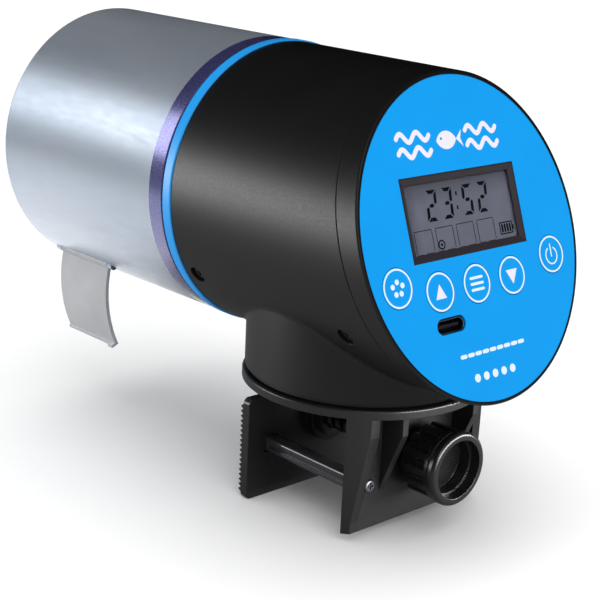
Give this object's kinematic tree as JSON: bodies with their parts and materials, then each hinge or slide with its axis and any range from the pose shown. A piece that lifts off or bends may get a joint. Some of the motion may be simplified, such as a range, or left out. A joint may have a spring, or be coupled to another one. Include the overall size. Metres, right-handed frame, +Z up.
{
  "type": "automatic fish feeder",
  "caption": "Aquarium feeder with a round motor case, slanted display panel, clear rotating food drum with an outlet flap, and a thumb-screw clamp for the tank wall.",
  "frame": {"origin": "on the clamp's fixed face, in the middle, level with the underside of the guide rails, where the top edge of the tank wall stops", "axes": "+Z up, +Y from the control panel towards the food drum and the inside of the tank, +X to the right seen from the front"},
  "size_m": [0.0727, 0.1519, 0.1104],
  "materials": {
    "case_plastic": "satin black moulded plastic",
    "clamp_plastic": "satin black moulded plastic",
    "knob_plastic": "satin black moulded plastic",
    "rail_plastic": "polished black",
    "film": "blue printed film, semi-gloss",
    "key_film": "blue, semi-gloss, white print",
    "bezel": "black",
    "lens": "clear",
    "lcd": "grey liquid crystal glass",
    "backlight": "white diffuser",
    "board": "green solder mask",
    "switch_body": "black",
    "metal_port": "nickel plated",
    "port_tongue": "black",
    "steel": "plain steel",
    "screw_black": "blackened steel",
    "screw_steel": "zinc plated",
    "motor_metal": "satin",
    "gearbox": "white acetal",
    "gear_acetal": "white acetal",
    "bush_brass": "sintered bronze",
    "nylon": "nylon",
    "cell": "foil wrap",
    "tray": "black",
    "ring_blue": "blue, glossy",
    "drum_clear": "clear smoke-grey plastic",
    "flap_clear": "translucent grey plastic",
    "collar": "dark violet-blue, mirror-like",
    "coupler": "dark blue",
    "seal": "soft rubber"
  },
  "bodies": {
    "clamp": {"clamp_bracket": "clamp_plastic", "guide_rails": "rail_plastic", "rail_screws": "screw_steel", "knob_washer": "steel", "swivel_bolt": "steel", "swivel_washer": "nylon", "swivel_nut": "steel"},
    "case": {"body_shell": "case_plastic", "pedestal_base": "case_plastic", "base_screws": "screw_steel", "case_screws": "screw_black", "front_cover": "case_plastic", "panel_film": "film", "display_bezel": "bezel", "display_lens": "lens", "display_glass": "lcd", "display_backlight": "backlight", "tact_switches": "switch_body", "circuit_board": "board", "board_screws": "screw_steel", "usb_shell": "metal_port", "usb_tongue": "port_tongue", "trim_ring": "ring_blue", "rear_bulkhead": "case_plastic", "motor_plate": "case_plastic", "plate_screws": "screw_steel", "shaft_bushes": "bush_brass", "motor_gearbox": "gearbox", "motor_can": "motor_metal", "battery_cell": "cell", "battery_tray": "tray"},
    "drum": {"food_drum": "drum_clear", "drum_collar": "collar", "drum_end_cap": "drum_clear", "drum_coupler": "coupler", "drum_seal": "seal", "drive_shaft": "steel", "drive_gear": "gear_acetal", "flap_pin": "steel"},
    "pinion": {"motor_pinion": "gear_acetal", "motor_shaft": "steel"},
    "flap": {"outlet_flap": "flap_clear"},
    "jaw": {"clamp_jaw": "clamp_plastic"},
    "thumb_screw": {"clamp_screw": "steel", "clamp_knob": "knob_plastic", "screw_clip": "steel"},
    "key_feed": {"key_feed": "key_film"},
    "key_up": {"key_up": "key_film"},
    "key_set": {"key_set": "key_film"},
    "key_down": {"key_down": "key_film"},
    "key_power": {"key_power": "key_film"}
  },
  "joints": [
    {"name": "case_swivel", "type": "hinge", "parent": "clamp", "child": "case", "pos_m": [0, 0.0181, 0.0218], "axis": [0, 0, 1], "range_deg": [-90, 90]},
    {"name": "drum_spin", "type": "hinge", "parent": "case", "child": "drum", "pos_m": [0, 0.09, 0.0626], "axis": [0, 1, 0], "continuous": true},
    {"name": "pinion_spin", "type": "hinge", "parent": "case", "child": "pinion", "pos_m": [0, 0.04, 0.0866], "axis": [0, 1, 0], "continuous": true},
    {"name": "flap_hinge", "type": "hinge", "parent": "drum", "child": "flap", "pos_m": [-0.02055, 0.108, 0.03304], "axis": [0, 1, 0], "range_deg": [-68.5, 45]},
    {"name": "jaw_slide", "type": "slide", "parent": "clamp", "child": "jaw", "axis": [0, -1, 0], "range_m": [0, 0.025]},
    {"name": "screw_spin", "type": "hinge", "parent": "clamp", "child": "thumb_screw", "pos_m": [0, 0, 0.006], "axis": [0, 1, 0], "range_deg": [0, 3001]},
    {"name": "key_feed_press", "type": "slide", "parent": "case", "child": "key_feed", "axis": [0, 0.9397, -0.342], "range_m": [0, 0.0004], "stiffness_N_per_m": 800, "springref_m": -0.0003},
    {"name": "key_up_press", "type": "slide", "parent": "case", "child": "key_up", "axis": [0, 0.9397, -0.342], "range_m": [0, 0.0004], "stiffness_N_per_m": 800, "springref_m": -0.0003},
    {"name": "key_set_press", "type": "slide", "parent": "case", "child": "key_set", "axis": [0, 0.9397, -0.342], "range_m": [0, 0.0004], "stiffness_N_per_m": 800, "springref_m": -0.0003},
    {"name": "key_down_press", "type": "slide", "parent": "case", "child": "key_down", "axis": [0, 0.9397, -0.342], "range_m": [0, 0.0004], "stiffness_N_per_m": 800, "springref_m": -0.0003},
    {"name": "key_power_press", "type": "slide", "parent": "case", "child": "key_power", "axis": [0, 0.9397, -0.342], "range_m": [0, 0.0004], "stiffness_N_per_m": 800, "springref_m": -0.0003}
  ],
  "couplings": [
    {"joint": "pinion_spin", "follows": "drum_spin", "ratio": -4},
    {"joint": "screw_spin", "follows": "jaw_slide", "rad_per_m": 2094.4}
  ]
}
